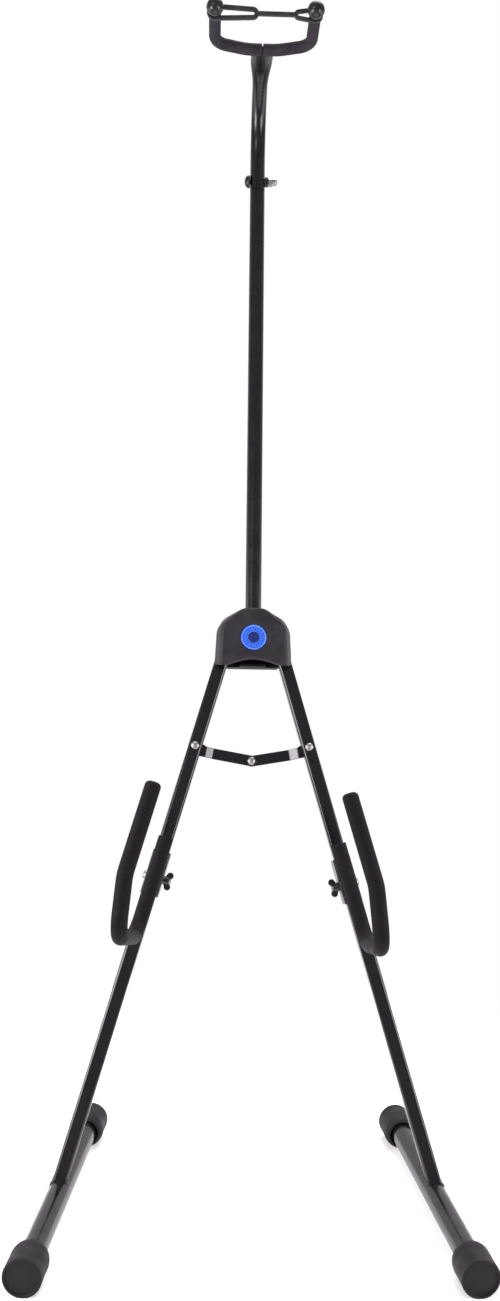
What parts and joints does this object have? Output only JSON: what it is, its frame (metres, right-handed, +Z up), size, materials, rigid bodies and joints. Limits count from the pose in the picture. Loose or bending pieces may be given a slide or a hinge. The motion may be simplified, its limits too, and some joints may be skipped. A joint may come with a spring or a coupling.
{
  "type": "cello stand",
  "caption": "Folding floor stand for a cello: hinged legs on tubular feet, folding brace, sliding padded arms, mast with a bent neck, padded yoke and rubber retaining strap.",
  "frame": {"origin": "on the floor, under the middle of the stand's bounding box", "axes": "+Z up; the stand faces -Y, so the arms and the yoke reach towards -Y; +X is at the right in the picture"},
  "size_m": [0.4736, 0.5214, 1.3403],
  "materials": {
    "black_enamel": "gloss",
    "moulded_black": "textured",
    "cap_rubber": "matte",
    "sleeve_rubber": "matte",
    "ball_rubber": "satin",
    "strap_rubber": "matte",
    "zinc": "bright",
    "plain_steel": "satin",
    "badge_blue": "gloss",
    "nut_black": "satin"
  },
  "bodies": {
    "frame": {"hub_front_shell": "moulded_black", "hub_rear_shell": "moulded_black", "hub_badge": "badge_blue", "pivot_plate_front": "plain_steel", "pivot_plate_rear": "plain_steel", "left_pivot_pin": "plain_steel", "right_pivot_pin": "plain_steel", "left_pivot_washer_front": "plain_steel", "left_pivot_washer_rear": "plain_steel", "right_pivot_washer_front": "plain_steel", "right_pivot_washer_rear": "plain_steel", "mast_tube": "black_enamel", "mast_rivet_lower": "zinc", "mast_rivet_upper": "zinc", "hub_screw_upper_left": "plain_steel", "hub_screw_upper_right": "plain_steel", "hub_screw_lower_left": "plain_steel", "hub_screw_lower_right": "plain_steel", "neck_spigot": "plain_steel", "neck_tube": "black_enamel", "neck_bolt": "nut_black", "neck_washer": "nut_black", "yoke_rod": "black_enamel", "yoke_sleeve_left": "sleeve_rubber", "yoke_sleeve_right": "sleeve_rubber", "yoke_ball_left": "ball_rubber", "yoke_ball_right": "ball_rubber", "retaining_strap": "strap_rubber"},
    "neck_nut": {"neck_nut": "zinc"},
    "left_leg": {"left_leg": "black_enamel", "left_foot_tube": "black_enamel", "left_front_cap": "cap_rubber", "left_rear_cap": "cap_rubber", "left_brace_rivet": "zinc"},
    "left_link": {"left_brace_link": "black_enamel", "brace_centre_rivet_head": "zinc"},
    "left_arm": {"left_arm_bracket": "black_enamel", "left_arm_rod": "black_enamel", "left_arm_sleeve": "sleeve_rubber", "left_clamp_bolt": "zinc"},
    "left_wing_nut": {"left_wing_nut": "nut_black"},
    "right_leg": {"right_leg": "black_enamel", "right_foot_tube": "black_enamel", "right_front_cap": "cap_rubber", "right_rear_cap": "cap_rubber", "right_brace_rivet": "zinc"},
    "right_link": {"right_brace_link": "black_enamel", "brace_centre_rivet_tail": "zinc"},
    "right_arm": {"right_arm_bracket": "black_enamel", "right_arm_rod": "black_enamel", "right_arm_sleeve": "sleeve_rubber", "right_clamp_bolt": "zinc"},
    "right_wing_nut": {"right_wing_nut": "nut_black"}
  },
  "joints": [
    {"name": "left_leg_fold", "type": "hinge", "parent": "frame", "child": "left_leg", "pos_m": [-0.0293, 0.0735, 0.60521], "axis": [0, -0.9613, 0.2756], "range_deg": [0, 15.05]},
    {"name": "right_leg_fold", "type": "hinge", "parent": "frame", "child": "right_leg", "pos_m": [0.0293, 0.0735, 0.60521], "axis": [0, -0.9613, 0.2756], "range_deg": [-15.05, 0]},
    {"name": "left_link_swing", "type": "hinge", "parent": "left_leg", "child": "left_link", "pos_m": [-0.06626, 0.03809, 0.4817], "axis": [0, -0.9613, 0.2756], "range_deg": [-64.8, 0]},
    {"name": "right_link_swing", "type": "hinge", "parent": "right_leg", "child": "right_link", "pos_m": [0.06626, 0.03809, 0.4817], "axis": [0, -0.9613, 0.2756], "range_deg": [0, 64.8]},
    {"name": "left_arm_slide", "type": "slide", "parent": "left_leg", "child": "left_arm", "axis": [0.2765, 0.2649, 0.9238], "range_m": [-0.15, 0.07]},
    {"name": "right_arm_slide", "type": "slide", "parent": "right_leg", "child": "right_arm", "axis": [-0.2765, 0.2649, 0.9238], "range_m": [-0.15, 0.07]},
    {"name": "left_wing_nut_turn", "type": "hinge", "parent": "left_arm", "child": "left_wing_nut", "pos_m": [-0.09939, 0.00664, 0.33122], "axis": [0.961, -0.0762, -0.2658], "continuous": true},
    {"name": "right_wing_nut_turn", "type": "hinge", "parent": "right_arm", "child": "right_wing_nut", "pos_m": [0.10092, 0.00519, 0.32614], "axis": [0.961, 0.0762, 0.2658], "continuous": true},
    {"name": "neck_nut_turn", "type": "hinge", "parent": "frame", "child": "neck_nut", "pos_m": [0.01422, 0.24206, 1.19302], "axis": [1, 0, 0], "continuous": true}
  ],
  "couplings": [
    {"joint": "right_leg_fold", "follows": "left_leg_fold", "ratio": -1},
    {"joint": "left_link_swing", "follows": "left_leg_fold", "ratio": -4.3054},
    {"joint": "right_link_swing", "follows": "left_leg_fold", "ratio": 4.3054}
  ]
}
